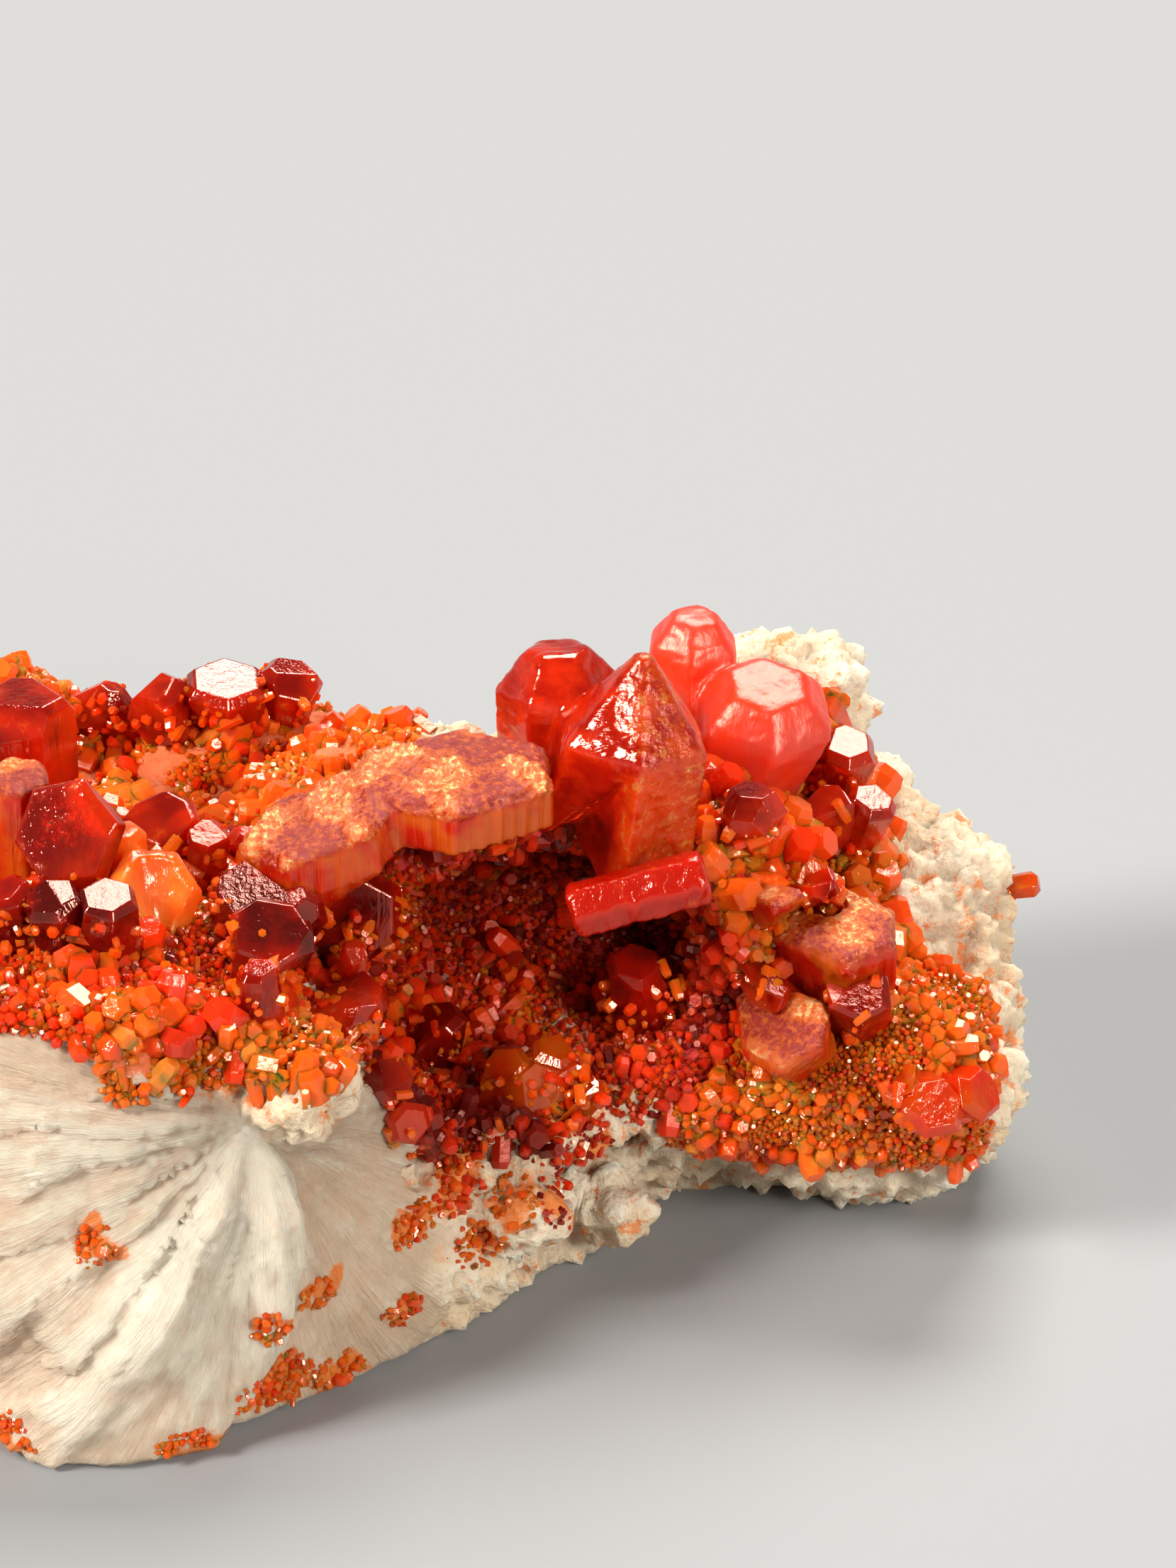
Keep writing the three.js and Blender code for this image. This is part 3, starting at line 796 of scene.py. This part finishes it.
def druse_on(node, faces, seed):
    """The small crystals of one crust, rooted in the rock's faces under it."""
    most, smallest, largest, tone, bare, _ = DRUSES[node]
    thicket = Thicket(seed)
    draw = thicket.random
    crust = Crust(node)
    ground = [face for face in faces if crust.surface.find_nearest(face[0])[3] < 1.0]
    tries = 6 * most
    for attempt in range(tries):
        share = attempt / tries
        point, normal = draw.choice(ground)
        point = point + Vector([draw.uniform(-0.5, 0.5) * VOXEL for _ in range(3)])
        coarse = smooth_step(-0.3, 0.4, noise.noise(point * 0.45 + Vector((0, seed, 0))))
        radius = smallest + (largest - smallest) * coarse * (1 - share) ** 2
        chance = smooth_step(bare - 0.15, bare + 0.15, 0.5 + 0.5 * noise.noise(point * 0.5))
        if draw.random() > chance * crust.fullness(point):
            continue
        own_tone = tone + 0.35 * noise.noise(point * 0.3) + draw.gauss(0, 0.14)
        thicket.add(point, normal, radius * draw.uniform(0.85, 1.15), own_tone)
    return thicket


def patches_on(faces):
    """The small crystals of the scattered patches on the bare front and back."""
    thicket = Thicket(SEED + 50)
    draw = thicket.random
    for side, aim, reach, count, tone in PATCH_PLACES:
        near = [
            face
            for face in faces
            if side * face[1].y > 0.2
            and math.hypot(face[0].x - aim.x, face[0].z - aim.z) < 1.1 * reach
        ]
        for _ in range(count * 3 if near else 0):
            point, normal = draw.choice(near)
            apart = math.hypot(point.x - aim.x, point.z - aim.z) / reach
            own_tone = tone + draw.gauss(0, 0.12)
            radius = draw.uniform(0.08, 0.34 - 0.18 * apart)
            thicket.add(point - normal * 0.4 * radius, normal, radius, own_tone)
    return thicket


def triangles_of(bm):
    """The larger flat faces of a crystal as triangles, each with its normal and area."""
    for face in bm.faces:
        corners = [vert.co.copy() for vert in face.verts]
        for second, third in zip(corners[1:], corners[2:]):
            area = (second - corners[0]).cross(third - corners[0]).length / 2
            if area > 0.05:
                yield corners[0], second, third, face.normal.copy(), area


def overgrowth(triangles, ground):
    """Small crystals on the large ones, mostly close to their feet."""
    thicket = Thicket(SEED + 60)
    draw = thicket.random
    areas = [triangle[4] for triangle in triangles]
    for first, second, third, normal, _ in draw.choices(triangles, areas, k=6000):
        share, rest = sorted((draw.random(), draw.random()))
        point = first * share + second * (rest - share) + third * (1 - rest)
        distance = ground.find_nearest(point)[3]
        near_foot = smooth_step(1.3, 0.2, distance) * smooth_step(0.75, 0.5, normal.z)
        if draw.random() > 0.004 + 0.75 * near_foot:
            continue
        radius = draw.uniform(0.10, 0.30) * (0.6 + 0.4 * smooth_step(2, 0, distance))
        thicket.add(point - normal * 0.3 * radius, normal, radius, 0.5 + draw.gauss(0, 0.12))
    return thicket


# ---- build ---------------------------------------------------------------------------------------

BARITE = barite_finish()
DRUSE = druse_finish("small crystals", 0.08, 2.0)
SHADED_DRUSE = druse_finish("small crystals of the hollow", 0.3, 1.6)
ETCHED_FINISH = etched_finish()
SPECIAL_FINISHES = {
    "crystal_back_dome": crystal_finish("rosy vanadinite", SCARLET, ROSE, ROSE, 0.03, 0.34, 0.3),
    "crystal_summit_twin": summit_finish(),
    "crystal_lying_prism": crystal_finish("frosted vanadinite", BLOOD, BLOOD, FLAME, 0.06, 0.14, 0.4),
    "crystal_broken_plates": crystal_finish("amber vanadinite", FLAME, AMBER, HONEY, 0.05, 0.15, 0.3),
}
CRYSTAL_FINISHES = {
    "red_vanadinite": crystal_finish("red vanadinite", GARNET, SCARLET, AMBER),
    "orange_vanadinite": crystal_finish("orange vanadinite", SCARLET, FLAME, AMBER, 0.04, 0.1),
    "dark_vanadinite": crystal_finish("dark vanadinite", MAROON, BLOOD, SCARLET),
}

block = barite_block()
rock_faces = [(face.calc_center_median(), face.normal.copy()) for face in block.faces]
finish_piece(block, "barite_block", BARITE, True, [BLOCK])

rock = surface_of([BLOCK])
ground = surface_of([BLOCK, *CRUSTS])
triangles = []
for node in CRYSTALS:
    piece = large_crystal(node, ground, rock)
    triangles += triangles_of(piece)
    finish = CRYSTAL_FINISHES[SLOT_OF[node]]
    if node in SPECIAL_FINISHES:
        finish = SPECIAL_FINISHES[node]
    elif node in ETCHED:
        finish = ETCHED_FINISH
    name = node.replace("crystal_", "vanadinite_")
    finish_piece(piece, name, finish, node in ETCHED or node in WORN, [node])

template = bud()
for number, node in enumerate(CRUSTS):
    small = druse_on(node, rock_faces, SEED + number).build(template)
    finish = SHADED_DRUSE if node == "crust_hollow" else DRUSE
    finish_piece(small, node.replace("crust_", "druse_"), finish, False, [node])
patches = patches_on(rock_faces).build(template)
finish_piece(patches, "druse_patches", DRUSE)
seedlings = overgrowth(triangles, ground).build(template)
finish_piece(seedlings, "druse_overgrowth", DRUSE)
bpy.data.meshes.remove(template)


# ---- stage ---------------------------------------------------------------------------------------

AIM = place_in(BLOCK, (0.677, 0.475, 1.01)) * MM
DISTANCE = 0.180
ELEVATION = math.radians(27)
FRAME_HEIGHT = 0.06144  # height of the view at the aim
SENSOR = 36.0
WALL = 0.5
OVERHEAD = 0.10
WALL_TOP = 0.15  # heights, as sines, between which the wall darkens
OVERHEAD_FROM = 0.42
FLOOR = 1.2  # half its width
LAMPS_AWAY = 1.5


def floor():
    """A plain pale floor under the specimen."""
    bm = bmesh.new()
    bmesh.ops.create_grid(bm, x_segments=1, y_segments=1, size=FLOOR)
    mesh = bpy.data.meshes.new("floor")
    bm.to_mesh(mesh)
    bm.free()
    finish = Finish("floor")
    colour = (0.27, 0.266, 0.258, 1)
    sockets = {"Base Color": colour, "Roughness": 0.7, "Specular IOR Level": 0.2}
    mesh.materials.append(finish.end(sockets))
    made = bpy.data.objects.new("floor", mesh)
    bpy.context.scene.collection.objects.link(made)


def soft_box(name, direction, size, power):
    """A square light that looks at the aim from a direction."""
    light = bpy.data.lights.new(name, "AREA")
    light.size = size
    light.energy = power
    lamp = bpy.data.objects.new(name, light)
    lamp.location = AIM + Vector(direction).normalized() * LAMPS_AWAY
    lamp.rotation_euler = (lamp.location - AIM).to_track_quat("Z", "Y").to_euler()
    lamp.visible_camera = False
    bpy.context.scene.collection.objects.link(lamp)


def studio():
    """A pale wall all round that darkens overhead, so that facets turned up stay clear."""
    world = bpy.data.worlds.new("studio")
    world.use_nodes = True
    nodes = world.node_tree.nodes
    links = world.node_tree.links
    place = nodes.new("ShaderNodeTexCoord")
    axes = nodes.new("ShaderNodeSeparateXYZ")
    height = nodes.new("ShaderNodeMapRange")
    height.inputs["From Min"].default_value = WALL_TOP
    height.inputs["From Max"].default_value = OVERHEAD_FROM
    height.inputs["To Min"].default_value = WALL
    height.inputs["To Max"].default_value = OVERHEAD
    links.new(place.outputs["Generated"], axes.inputs[0])
    links.new(axes.outputs["Z"], height.inputs["Value"])
    links.new(height.outputs["Result"], nodes["Background"].inputs["Strength"])
    nodes["Background"].inputs["Color"].default_value = (1, 0.98, 0.95, 1)
    return world


def camera():
    """Looks at the aim from the front, from a little above."""
    lens = bpy.data.cameras.new("camera")
    lens.sensor_width = SENSOR
    lens.lens = SENSOR * DISTANCE / FRAME_HEIGHT
    lens.clip_start = 0.01
    lens.clip_end = 10
    eye = bpy.data.objects.new("camera", lens)
    back = Vector((0, -math.cos(ELEVATION), math.sin(ELEVATION)))
    eye.location = AIM + back * DISTANCE
    eye.rotation_euler = Euler((math.pi / 2 - ELEVATION, 0, 0))
    bpy.context.scene.collection.objects.link(eye)
    bpy.context.scene.camera = eye


floor()
soft_box("key", (-0.9, -0.5, 0.75), 0.43, 35)
soft_box("back", (0.1, 0.55, 0.85), 0.86, 35)
soft_box("fill", (0.7, -0.8, 0.55), 0.53, 21)
camera()

bpy.context.scene.world = studio()
bpy.context.scene.view_settings.view_transform = "Standard"
